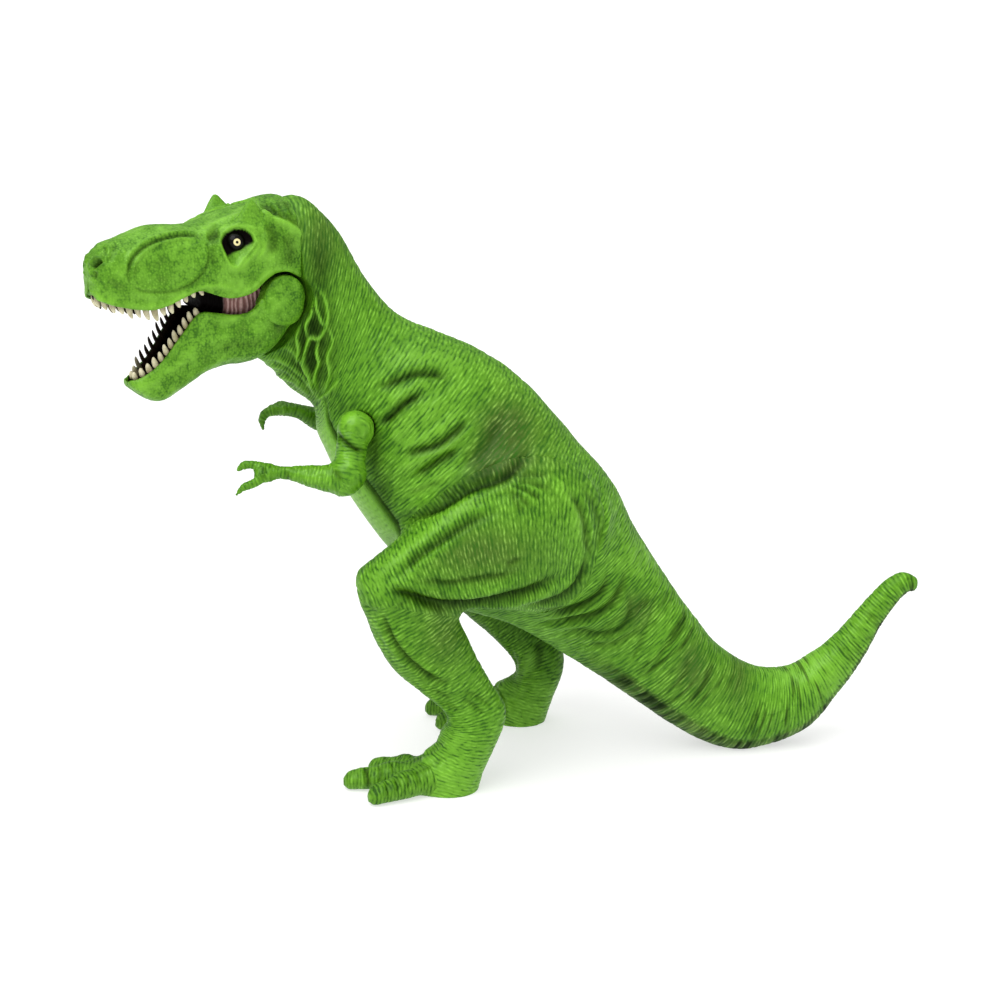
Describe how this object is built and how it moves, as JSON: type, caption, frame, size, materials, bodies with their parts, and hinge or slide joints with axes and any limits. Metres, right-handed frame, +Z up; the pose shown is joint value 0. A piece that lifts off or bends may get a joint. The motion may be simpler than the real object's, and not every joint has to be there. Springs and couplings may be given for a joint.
{
  "type": "toy dinosaur figure",
  "caption": "Upright predatory dinosaur toy figure with an open hinged jaw, small swinging arms and a thick tail that it stands on with its feet.",
  "frame": {"origin": "middle of the figure's bounding box seen from above, on the floor that its feet and tail stand on", "axes": "-X the way the figure faces, -Y its left side, +Z up"},
  "size_m": [0.2952, 0.1052, 0.2063],
  "materials": {
    "skin": "matte, painted with a dark wash in the wrinkles",
    "limb_skin": "semi-matte moulded",
    "tooth": "satin paint",
    "mouth": "satin paint",
    "eye": "gloss",
    "pin": "drawn"
  },
  "bodies": {
    "figure": {"torso": "skin", "tail": "skin", "head": "skin", "jaw_hinge_pin": "pin", "mouth_insert": "mouth", "upper_teeth": "tooth", "left_eye": "eye", "right_eye": "eye", "left_leg": "limb_skin", "right_leg": "limb_skin"},
    "jaw": {"lower_jaw": "skin", "lower_teeth": "tooth", "tongue": "mouth"},
    "left_arm": {"left_arm": "limb_skin"},
    "right_arm": {"right_arm": "limb_skin"}
  },
  "joints": [
    {"name": "jaw_hinge", "type": "hinge", "parent": "figure", "child": "jaw", "pos_m": [-0.09053, -0.00826, 0.17326], "axis": [0.4695, -0.8829, 0], "range_deg": [-20, 3]},
    {"name": "left_shoulder_swivel", "type": "hinge", "parent": "figure", "child": "left_arm", "pos_m": [-0.05996, -0.02943, 0.129], "axis": [0, 1, 0], "range_deg": [-25, 70]},
    {"name": "right_shoulder_swivel", "type": "hinge", "parent": "figure", "child": "right_arm", "pos_m": [-0.05996, 0.01871, 0.129], "axis": [0, 1, 0], "range_deg": [-25, 70]}
  ]
}
